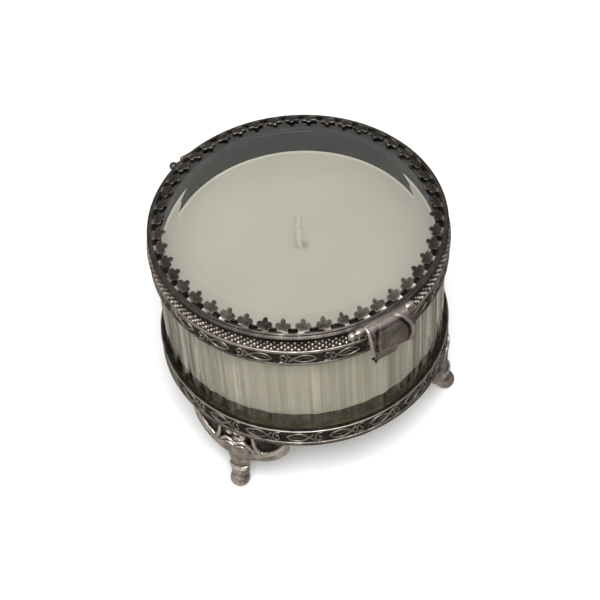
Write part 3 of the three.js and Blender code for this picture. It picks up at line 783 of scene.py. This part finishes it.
def foot_shape():
    """One foot in (along, up, out) from its own middle, before it is bent round the jar."""
    made = Shape()
    top = LOW_BAND_Z - 0.15

    def bar(points, across, rise, side=1, sides=10):
        """A rounded bar through points of (along, drop, out), to one side of the foot's middle."""
        path = smooth([(side * along, top - drop, out) for along, drop, out in points])
        steps = np.linspace(0, 1, len(path))
        widths = [np.interp(steps, np.linspace(0, 1, np.size(w)), np.atleast_1d(w)) for w in (across, rise)]
        made.join(sweep(path, *widths, sides=sides))

    half, depth, back = 18.2, 12.0, []
    # a sheet behind the openwork, which make_feet paints dark as the shade seen through the openings
    for along in np.linspace(-half, half, 41):
        low = top - 0.6 - depth * sqrt(max(0.0, 1 - (along / half) ** 2))
        back.append([(along, low, -1.55), (along, top, -1.55), (along, top, -0.85), (along, low, -0.85)])
    made.join(loft(back))
    for side in (-1, 1):
        bar([(1, 0.5, -0.5), (8, 0.5, -0.5), (15, 0.5, -0.5), (18.3, 0.6, -0.6)], 0.6, 0.55, side)
        bar([(17.6, 1.0, -0.6), (16.4, 4.6, -0.4), (13.4, 7.8, -0.3), (9.6, 10.2, -0.3), (4.0, 12.0, -0.1)],
            [1.1, 1.8, 2.1, 2.1, 1.9], 0.8, side)
        bar([(8.6, 10.0, -0.4), (6.8, 5.6, -0.1), (6.0, 1.0, -0.5)], [0.8, 0.75, 0.6], 0.7, side)
        bar([(9.6, 9.4, 0.0), (11.8, 7.6, 0.2), (13.6, 6.4, 0.1)], 0.45, 0.5, side)
        made.join(ball((side * 2.5, top - 2.1, -0.3), (1.25, 1.1, 0.9)))
        bar([(0, 5.6, 0.95), (1.6, 4.3, 0.9), (3.4, 4.6, 0.55), (5.4, 7.4, 0.0), (6.3, 8.8, -0.3)],
            [0.5, 0.6, 0.65, 0.7, 0.6], 0.6, side)
        bar([(0.6, 6.9, 1.05), (2.6, 6.3, 0.85), (4.3, 8.2, 0.45)], [0.3, 0.38, 0.3], 0.4, side)
    made.join(ball((0, top - 1.5, -0.4), (1.0, 1.0, 0.8)))
    made.join(ball((0, top - 10.4, -0.75), (5.5, 6.2, 1.9), 18, 28))
    bar([(0, 8, -0.8), (0, 11.5, -0.7), (0, 15, -0.7), (0, 18, -0.6), (0, 20.6, -0.4), (0, 23, -0.1)],
        [4.4, 4.5, 4.1, 3.5, 3.15, 3.0], [1.5, 1.6, 1.7, 1.75, 1.9, 2.3], sides=22)
    for drop, size, tilt in ((18.6, 3.5, 0.5), (20.0, 3.35, 0.45), (21.5, 3.15, 0.3)):
        ring = [(cos(t) * size, top - drop + tilt * cos(t), -0.4 + sin(t) * size * 0.62)
                for t in headings(26)]
        made.join(sweep(ring, 0.36, up=(0, 1, 0), closed=True))
    return made


def make_feet():
    """Three castings of one foot, with a ball under each. The recessed backing of the openwork is painted
    dark: painted shade for what shows through the openings.
    """
    radius, ball_z, ball_r = 47.0, 3.05, 3.3
    bent = foot_shape().bent(wrap(radius, 0.0))
    proud_points, faces, blurred = cast(bent.join(ball((radius + 0.3, 0, ball_z), ball_r, 20, 28)))
    points = proud_points.copy()
    points[:, 2] = np.clip(points[:, 2], 0.0, LOW_BAND_Z - 0.1)
    relief = ((proud_points - blurred) * normals_of(points, faces)).sum(1)
    depth = np.hypot(points[:, 0], points[:, 1]) - (radius - 0.85)
    # painted shade: points on the sunken backing of the openwork are darkened
    hollow = np.clip(1.4 - depth / 0.3, 0, 1) * (points[:, 2] > LOW_BAND_Z - 11)
    wear_and_painted_light = np.clip(0.5 + 1.5 * relief, 0.02, 1.0) * (1 - 0.95 * hollow)
    for node, heading in FOOT_HEADINGS.items():
        c, s = cos(radians(heading)), sin(radians(heading))
        shape = Shape().add(points @ [[c, s, 0], [-s, c, 0], [0, 0, 1]], faces, wear_and_painted_light)
        # the front right foot takes the darker of the two brighter silvers
        darker_foot = node == "foot_front_right"
        piece(node, shape, SMOOTH_SILVER_PAINTED_SHEEN if darker_foot else FOOT_SILVER_PAINTED_SHEEN, sharp=80)


# ---- lid


CROWN_INNER = GLASS_R + 0.3
CROWN_EDGE = CROWN_R - 0.6      # radius of the top edge, where the tabs start
CROWN_BASE = LID_TOP + 0.1


def make_lid_ring():
    seat, inner = GLASS_LOW - FIT_GAP, 43.0
    profile = [(inner, LID_LOW + 0.1), (inner + 0.1, LID_LOW), (LID_R - 0.2, LID_LOW),
               (LID_R, LID_LOW + 0.2), (LID_R - 0.78, LID_TOP), (CROWN_INNER, LID_TOP), (CROWN_INNER, seat),
               (inner + 0.1, seat), (inner, seat - 0.1)]
    levels = [0.2, 0.1, 0.05, 0.18, 0.46, 0.1, 0.1, 0.2, 0.3]
    piece("lid_ring", revolve(profile, wear_and_painted_light=levels), SILVER, body="lid", sharp=30)


def make_lid_glass():
    flat = 37.0                 # radius where the bevel meets the flat top
    profile = [(AXIS, GLASS_LOW), (GLASS_R - 0.15, GLASS_LOW), (GLASS_R, GLASS_LOW + 0.15),
               (GLASS_R, GLASS_LOW + 0.5), (GLASS_R - 0.1, GLASS_LOW + 0.62),
               (flat + 0.15, GLASS_TOP - 0.03), (flat - 0.1, GLASS_TOP), (AXIS, GLASS_TOP)]
    piece("lid_glass", revolve(profile), LID_GLASS, body="lid", sharp=3)


def tab_outline():
    """A stamped tab in plan: a broad neck, two side lobes and a small round tip, tip towards +X."""
    edge = [(-0.2, 1.95), (0.6, 1.72), (1.2, 1.85), (1.6, 2.28), (2.2, 2.5), (2.8, 2.35), (3.15, 1.85),
            (3.15, 1.25), (3.1, 0.88), (3.6, 0.84), (4.1, 0.66), (4.4, 0.36), (4.48, 0.0)]
    path = smooth(edge, 3)
    return np.concatenate([path, path[-2::-1] * [1, -1]])


def tab_shape():
    """One tab in (towards the tip, sideways, up), slightly dished, with a soft raised rim and a painted
    highlight across its neck.
    """
    outline = tab_outline()
    away = outline - [2.0, 0.0]
    length = np.maximum(np.linalg.norm(away, axis=1, keepdims=True), 0.3)
    thick = 0.4
    layers = [(0, 0.0, 0.3), (0, thick - 0.12, 0.68), (0.1, thick, 0.6), (0.3, thick, 0.36),
              (0.55, thick - 0.05, 0.28)]
    rings, levels = [], []
    for drawn_in, z, level in layers:
        ring = outline - away * drawn_in / length
        rings.append(np.column_stack([ring, np.full(len(ring), z)]))
        bend = np.exp(-((ring[:, 0] - 0.2) / 0.5) ** 2)
        levels += list(level + 0.5 * bend)          # painted highlight: the bend at the neck is painted bright
    return loft(rings, levels)


def make_crown():
    """The strip round the lid's edge, with its tabs bent in over the glass, each a little differently."""
    edge, top = CROWN_EDGE, CROWN_BASE + 0.5
    profile = [(CROWN_INNER, CROWN_BASE), (edge + 0.58, CROWN_BASE), (edge + 0.55, CROWN_BASE + 0.12),
               (edge + 0.05, top - 0.06), (edge - 0.15, top + 0.02), (CROWN_INNER, top + 0.04)]
    shape = revolve(profile, 276, [0.1, 0.4, 0.5, 0.2, 0.02, 0.02])
    tabs, lead, lean = 46, 1.0, 21.5
    tab = tab_shape()
    for count in range(tabs):
        heading = radians(-90 + lead + count * 360 / tabs + rng.uniform(-0.35, 0.35))
        slope = radians(lean + rng.uniform(-2.5, 2.0))
        twist = rng.uniform(-0.1, 0.1)
        narrow = rng.uniform(0.94, 1.02)
        shade = rng.uniform(-0.08, 0.08)
        if count == tabs - 2:       # one tab is bent and narrow
            twist, narrow = 0.25, 0.72
        along, side, up = np.array(tab.points).T * [[1], [narrow], [1]]
        side, up = side * cos(twist) - up * sin(twist), side * sin(twist) + up * cos(twist)
        radius = edge - 0.15 - (along * cos(slope) - up * sin(slope))
        points = [radius * cos(heading) - side * sin(heading), radius * sin(heading) + side * cos(heading),
                  top - 0.4 + (along * sin(slope) + up * cos(slope))]
        shape.add(np.stack(points, 1), tab.faces, np.array(tab.wear_and_painted_light) + shade)
    piece("crown_gallery", shape, SILVER, body="lid", sharp=40)


# ---- hinge


KNUCKLE, KNUCKLE_GAP, KNUCKLE_R, PIN_R, BORE_R = 5.0, 0.3, 1.8, 0.7, 0.78


def knuckles(on_lid):
    """Where the knuckles of one leaf start and end along X: the lid has every second one of five."""
    starts = [-HINGE_HALF + count * (KNUCKLE + KNUCKLE_GAP) for count in range(5)]
    return [(start, start + KNUCKLE) for start in starts[int(on_lid)::2]]


def make_hinge_leaf_body():
    inner, outer = UP_BAND_R + 0.1, UP_BAND_R + 0.9
    low, high, web = box_mm("hinge_leaf_body")[0].z, UP_BAND_TOP - 0.5, HINGE_Y - 1.2
    profile = [(inner, low), (outer - 0.15, low), (outer, low + 0.15), (outer, high - 0.15),
               (outer - 0.15, high), (inner, high)]
    shape = revolve(profile, 28, [0.2, 0.5, 0.6, 0.6, 0.5, 0.2], arc_about(90, HINGE_HALF, outer))
    for start, end in knuckles(False):
        shape.join(rod(start, end, HINGE_Y, HINGE_Z, KNUCKLE_R, BORE_R, wear_and_painted_light=0.55))
        wall = sqrt((outer - 0.3) ** 2 - max(abs(start), abs(end)) ** 2)
        shape.join(prism([(wall, HINGE_Z - 0.8), (web, HINGE_Z - 0.8), (web, HINGE_Z + 0.6),
                          (wall, HINGE_Z + 0.6)], start + 0.1, end - 0.1, 0.15))
    piece("hinge_leaf_body", shape, SMOOTH_SILVER_PAINTED_SHEEN)


def make_hinge_leaf_lid():
    low, high, outer = UP_BAND_TOP + 0.3, LID_LOW - FIT_GAP, UP_BAND_R + 0.25
    wall, inner = outer - 0.75, 44.5
    profile = [(inner, high - 0.6), (LID_R - 0.65, high - 0.6), (outer - 0.7, low), (outer - 0.1, low),
               (outer, low + 0.15), (LID_R, high), (inner, high)]
    arc = arc_about(90, HINGE_HALF - 1, max(outer, LID_R))
    shape = revolve(profile, 28, [0.2, 0.2, 0.3, 0.5, 0.55, 0.5, 0.3], arc)
    web = [(wall, low + 0.05), (HINGE_Y - 1.2, low + 0.05), (HINGE_Y - 0.8, HINGE_Z + 1.3),
           (HINGE_Y + 0.5, HINGE_Z + 1.3), (HINGE_Y - 0.2, low + 0.8), (wall, low + 0.8)]
    for start, end in knuckles(True):
        shape.join(rod(start, end, HINGE_Y, HINGE_Z, KNUCKLE_R, BORE_R, wear_and_painted_light=0.55))
        shape.join(prism(web, start + 0.1, end - 0.1, 0.15))
    piece("hinge_leaf_lid", shape, SMOOTH_SILVER_PAINTED_SHEEN, body="lid")


def ball_pin(node, y, z, head, tone_and_painted_light):
    """A pin with a ball head at its left end and a flattened right end; tone_and_painted_light sets how
    bright the head is painted.
    """
    low, high = box_mm(node)
    shape = rod(low.x + head * 1.3, high.x, y, z, PIN_R, wear_and_painted_light=0.6)
    knob = ball((0, 0, 0), head, 14, 22, tone_and_painted_light, tone_and_painted_light * 0.6)
    shape.join(knob, lambda p: p[:, [2, 0, 1]] * [-1, 1, 1] + [low.x + head, y, z])
    return shape


def make_hinge_pin():
    shape = ball_pin("hinge_pin", HINGE_Y, HINGE_Z, 1.4, 0.15)
    piece("hinge_pin", shape, SMOOTH_SILVER_PAINTED_SHEEN)


# ---- clasp


CLASP_BARREL = 1.25


def make_clasp_bracket():
    """A strip on the lid's wall, with the two barrels that hold the pin and the web behind each."""
    low, high = box_mm("clasp_bracket")
    wall, base = LID_R + 0.12, LID_LOW + FIT_GAP
    profile = [(wall, base), (wall + 0.55, base), (wall + 0.6, base + 0.1), (wall + 0.55, base + 0.8),
               (wall, base + 0.8)]
    shape = revolve(profile, 24, [0.2, 0.5, 0.6, 0.5, 0.3], arc_about(-90, 9.4, wall))
    for start, end in ((low.x, low.x + 2.6), (high.x - 2.7, high.x)):
        shape.join(rod(start, end, CLASP_Y, CLASP_Z, CLASP_BARREL, BORE_R, edge=0.35, wear_and_painted_light=0.62))
        back = -sqrt(wall ** 2 - max(abs(start), abs(end)) ** 2)
        shape.join(prism([(CLASP_Y - 0.9, CLASP_Z - 0.6), (CLASP_Y - 0.2, CLASP_Z + CLASP_BARREL - 0.05),
                          (back - 0.4, CLASP_Z - 0.4), (back, LID_LOW + 0.9), (back - 0.2, LID_LOW + 0.2),
                          (CLASP_Y + 0.8, LID_LOW + 0.2)], start + 0.05, end - 0.05, 0.2, 0.6))
    piece("clasp_bracket", shape, SMOOTH_SILVER_PAINTED_SHEEN, body="lid")


def clasp_curve(count):
    """The middle line of the hanging plate in (y, z), and its outward directions."""
    a, b, c, d = np.array([(0, 0.8), (-3.5, 0.9), (-4.2, -5), (-3.1, -11.6)]) + [CLASP_Y, CLASP_Z]
    t = np.linspace(0, 1, count)[:, None]
    line = (1 - t) ** 3 * a + 3 * (1 - t) ** 2 * t * b + 3 * (1 - t) * t * t * c + t ** 3 * d
    along = directions(line)
    return line, np.stack([along[:, 1], -along[:, 0]], 1)


def clasp_relief(x, v, half):
    """Height of the pressed relief in mm: a hem on each side, two bowed grooves and a smooth middle."""
    def ridge(height, place, width, low, high, soft=0.7):
        faded = 1 / (1 + np.exp(-(v - low) / soft)) / (1 + np.exp((v - high) / soft))
        return height * np.exp(-((x - place) / width) ** 2) * faded

    left = -6.1 + 1.1 * ((v - 8.0) / 5.0) ** 2
    right = 5.7 - 1.9 * ((v - 9.0) / 5.5) ** 2
    height = ridge(-0.34, left, 0.42, 3.4, 12.6) + ridge(0.12, left + 1.0, 0.5, 3.4, 12.6)
    height += ridge(-0.42, right, 0.48, 3.0, 12.0) + ridge(0.3, right + 1.25, 0.6, 2.6, 12.4)
    height += ridge(0.22, -half + 0.5, 0.35, 3.0, 14.0) + ridge(-0.12, -half + 1.25, 0.3, 3.0, 14.0)
    height += 0.1 * np.exp(-((x + 0.5) / 3.2) ** 2 - ((v - 8.5) / 3.6) ** 2)
    return height - 0.12 * np.exp(-((v - 3.1) / 0.45) ** 2) * (x > -6) * (x < 4)


def make_clasp_plate():
    """The hanging plate: pressed sheet with a slanted end, a notch for the bracket, a barrel and a lip."""
    rows, columns, half_width, lug_x, thin = 64, 78, 8.2, 6.4, 0.42
    line, out = clasp_curve(rows)
    along = run_of(line)
    length = along[-1]
    half = half_width - 0.6 * np.clip((along - length * 0.62) / (length * 0.38), 0, 1) ** 1.5
    half -= 0.5 * np.clip((along - length + 0.5) / 0.5, 0, 1) ** 2
    across = np.linspace(-1, 1, columns)
    x = half[:, None] * across[None, :]
    ends = length - 3.1 * (1 - across) / 2
    v = (along / length)[:, None] * ends[None, :]

    y_line, z_line, y_out, z_out = (np.interp(v, along, values) for values in (*line.T, *out.T))
    height = clasp_relief(x, v, half[:, None])
    margin = half[:, None] - np.abs(x)
    end = np.clip((ends[None, :] - v) / 0.5, 0, 1)
    side = np.clip(margin / 0.5, 0, 1)
    lift = thin * np.sqrt(1 - (1 - side) ** 2) * np.sqrt(1 - (1 - end) ** 2)
    hem = 0.16 * np.exp(-((ends[None, :] - 0.55 - v) / 0.35) ** 2)
    rise = lift + (height + hem) * np.clip(margin / 0.3, 0, 1)
    outer = np.stack([x, y_line + y_out * rise, z_line + z_out * rise], 2)
    inner = np.stack([x, y_line - y_out * thin, z_line - z_out * thin], 2)
    # the relief sets the level, and the left edge alone gets a painted highlight
    levels = np.clip(0.42 + 1.9 * (height + hem) + 0.5 * np.exp(-(margin / 0.35) ** 2) * (x < 0), 0.04, 1.0)
    middle_x = (x[:-1, :-1] + x[1:, 1:]) / 2
    middle_v = (v[:-1, :-1] + v[1:, 1:]) / 2
    shape = plate(outer, inner, levels, ~((middle_x > lug_x) & (middle_v < 2.9)))
    shape.join(rod(-half_width, lug_x, CLASP_Y, CLASP_Z, CLASP_BARREL, BORE_R, edge=0.3, wear_and_painted_light=0.45))
    lip = [(3.7, 8), (3.45, 11), (2.75, 13.9), (2.5, 14.15), (2.15, 14), (2.85, 11), (3.1, 8)]
    shape.join(prism([(CLASP_Y - out, CLASP_Z - drop) for out, drop in lip], -6.2, 1.8, 0.3, 0.5))
    for x_place, drop in ((-7.0, 11.6), (-6.1, 13.5)):
        shape.join(ball((x_place, CLASP_Y - 3.0, CLASP_Z - drop), 0.5, 8, 12, 0.04))
    piece("clasp_plate", shape, SMOOTH_SILVER_PAINTED_SHEEN, body="clasp", sharp=50)


def make_clasp_pin():
    # painted highlight: the ball head is painted bright
    shape = ball_pin("clasp_pin", CLASP_Y, CLASP_Z, 1.3, 0.95)
    piece("clasp_pin", shape, SMOOTH_SILVER_PAINTED_SHEEN, body="lid")


def make_clasp_catch():
    """A low half-round bar with softened ends, soldered to the upper band."""
    low, high = box_mm("clasp_catch")
    path = [(x, -UP_BAND_R - 0.1, (low.z + high.z) / 2) for x in np.linspace(low.x + 0.5, high.x - 0.5, 16)]

    def against_the_band(points):
        face = -np.sqrt(np.maximum((UP_BAND_R + 0.06) ** 2 - points[:, 0] ** 2, 0))
        return np.column_stack([points[:, 0], np.minimum(points[:, 1], face), points[:, 2]])

    shape = sweep(path, 0.8, 0.9, 14, up=(0, -1, 0), wear_and_painted_light=0.7, low_wear_and_painted_light=0.3).bent(against_the_band)
    piece("clasp_catch", shape, DARK_SILVER)


# ---- floor, light and camera


def make_stage():
    mesh = bpy.data.meshes.new("floor")
    half = 8.0
    corners = [(-half, -half, 0), (half, -half, 0), (half, half, 0), (-half, half, 0)]
    mesh.from_pydata(corners, [], [(0, 1, 2, 3)])
    floor = added("floor", mesh)
    look = new_material("floor_white")
    look.set(base_color=(0.86, 0.86, 0.86), roughness=0.9)
    mesh.materials.append(look.owner)
    floor.visible_glossy = False        # the metal and the glass mirror the dim studio instead
    floor.visible_diffuse = False


def area_light(name, place, size, power, mirrored=True):
    """A square soft light aimed at the middle of the box."""
    data = bpy.data.lights.new(name, "AREA")
    data.shape = "RECTANGLE"
    data.size = data.size_y = size
    data.energy = power
    lamp = added(name, data)
    lamp.visible_glossy = mirrored
    lamp.location = place
    lamp.rotation_euler = (Vector((0, 0, 0.06)) - Vector(place)).to_track_quat("-Z", "Y").to_euler()


def make_light():
    """A soft studio: bright above and to the left, dim and patchy below the horizon."""
    look = Look(bpy.data.worlds.new("studio"), "Background")
    bpy.context.scene.world = look.owner
    x, _, z, heading = look.split("Generated")
    height = look.math("MULTIPLY_ADD", z, 0.5, 0.5)
    sideways = look.math("MULTIPLY_ADD", x, 0.5, 0.5)
    above = look.multiply(look.ramp(height, (0.5, 0.54), (0.7, 0.93), (1.0, 1.54)),
                          look.ramp(sideways, (0.0, 1.0), (0.4, 0.56), (1.0, 0.53)))
    patches = look.streaks(heading, z, 11.0, 1.0, 1.0)
    below = look.multiply(look.ramp(patches, (0.46, (0.04, 0.036, 0.032)), (0.58, (1.4, 1.32, 1.2))),
                          look.ramp(sideways, (0.0, 0.95), (0.55, 0.75), (1.0, 0.25)))
    horizon = look.ramp(height, (0.4, 0.0), (0.48, 1.0))
    look.set(color=look.blend(below, above, factor=horizon), strength=1.0)
    area_light("key", (-0.22, -0.42, 0.85), 0.45, 10.2)
    area_light("fill", (0.7, 0.3, 0.6), 0.4, 0.9, mirrored=False)


def make_camera():
    """A 100 mm lens, from above the front left, with a small roll."""
    azimuth, elevation, roll = radians(-29.5), radians(50.5), radians(-4.277)
    turn = (Matrix.Rotation(azimuth, 3, "Z") @ Matrix.Rotation(pi / 2 - elevation, 3, "X")
            @ Matrix.Rotation(roll, 3, "Z"))
    aim = Vector((0, 0, 82.6))
    offset = Vector((0.7824, -24.528, 519.1392))        # to the camera's right, up and back, in mm
    data = bpy.data.cameras.new("camera")
    data.sensor_width, data.lens = 36.0, 99.97
    data.clip_start, data.clip_end = 0.01, 20.0
    camera = added("camera", data)
    camera.matrix_world = Matrix.Translation((aim + turn @ offset) * MM) @ turn.to_4x4()
    bpy.context.scene.camera = camera


for make in (make_camera, make_light, make_stage, make_jar, make_wax, make_wick, make_sustainer,
             make_base_collar, make_rim_collar, make_lower_band, make_upper_band, make_ridge,
             make_gallery, make_feet, make_lid_ring, make_lid_glass, make_crown, make_hinge_leaf_body,
             make_hinge_leaf_lid, make_hinge_pin, make_clasp_bracket, make_clasp_plate, make_clasp_pin,
             make_clasp_catch):
    make()

bpy.context.scene.view_settings.view_transform = "Standard"
